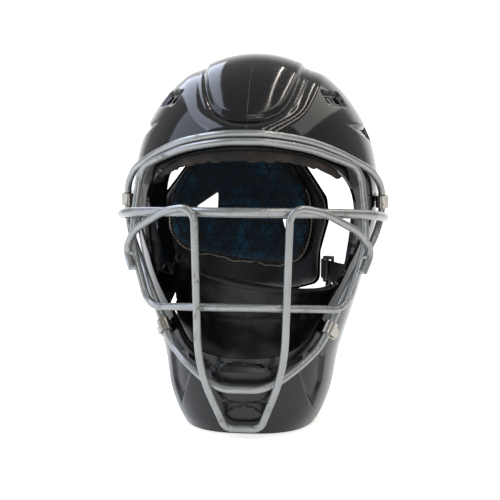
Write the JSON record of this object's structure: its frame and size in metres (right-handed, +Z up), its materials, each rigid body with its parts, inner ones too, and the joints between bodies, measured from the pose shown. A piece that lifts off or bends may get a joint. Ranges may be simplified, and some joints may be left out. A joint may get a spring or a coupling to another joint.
{
  "type": "baseball catcher helmet",
  "caption": "Hard-shell catcher's helmet with a welded wire face cage, foam liners, a floating back plate on elastic straps and a padded chin cup.",
  "frame": {"origin": "middle of the wearer's head at eye level", "axes": "+Z up, -Y towards the face side, +X towards the wearer's left"},
  "size_m": [0.2452, 0.2814, 0.3334],
  "materials": {
    "shell_plastic": "gloss",
    "plate_plastic": "gloss",
    "cage_steel": "satin",
    "clip_steel": "satin",
    "screw_steel": "bright",
    "pad_vinyl": "matt",
    "brow_foam": "matt",
    "liner_cloth": "matt",
    "binding_cloth": "matt",
    "webbing": "matt",
    "cup_plastic": "satin",
    "cup_vinyl": "matt",
    "slider_plastic": "satin",
    "snap_metal": "satin"
  },
  "bodies": {
    "helmet": {"cage_nuts": "screw_steel", "cage_screws": "screw_steel", "centre_frame": "cage_steel", "chin_pad": "pad_vinyl", "chin_snap_left": "snap_metal", "chin_snap_right": "snap_metal", "chin_strap_left": "webbing", "chin_strap_right": "webbing", "crown_pad": "pad_vinyl", "crown_strap": "webbing", "ear_pad_left": "pad_vinyl", "ear_pad_right": "pad_vinyl", "eye_bar": "cage_steel", "forehead_pad": "brow_foam", "front_shell": "shell_plastic", "jaw_clip_left": "clip_steel", "jaw_clip_right": "clip_steel", "jaw_pad_left": "pad_vinyl", "jaw_pad_right": "pad_vinyl", "mouth_wire": "cage_steel", "perimeter_wire": "cage_steel", "side_clip_left": "clip_steel", "side_clip_right": "clip_steel", "side_strap_left": "webbing", "side_strap_right": "webbing", "strap_rivets": "screw_steel", "temple_pad_left": "pad_vinyl", "temple_pad_right": "pad_vinyl"},
    "rear_plate": {"back_plate": "plate_plastic", "back_pad": "pad_vinyl", "back_liner": "liner_cloth", "liner_binding": "binding_cloth"},
    "chin_piece": {"chin_cup": "cup_plastic", "chin_cup_pad": "cup_vinyl"},
    "left_adjuster": {"strap_adjuster_left": "slider_plastic"},
    "right_adjuster": {"strap_adjuster_right": "slider_plastic"}
  },
  "joints": [
    {"name": "rear_plate_slide", "type": "slide", "parent": "helmet", "child": "rear_plate", "axis": [0, 1, 0], "range_m": [0, 0.025], "stiffness_N_per_m": 500},
    {"name": "chin_cup_slide", "type": "slide", "parent": "helmet", "child": "chin_piece", "axis": [0, 1, 0], "range_m": [0, 0.012]},
    {"name": "left_adjuster_slide", "type": "slide", "parent": "helmet", "child": "left_adjuster", "axis": [-0.6834, 0.73, 0], "range_m": [-0.004, 0.004]},
    {"name": "right_adjuster_slide", "type": "slide", "parent": "helmet", "child": "right_adjuster", "axis": [-0.7977, 0.6031, 0], "range_m": [-0.004, 0.004]}
  ]
}
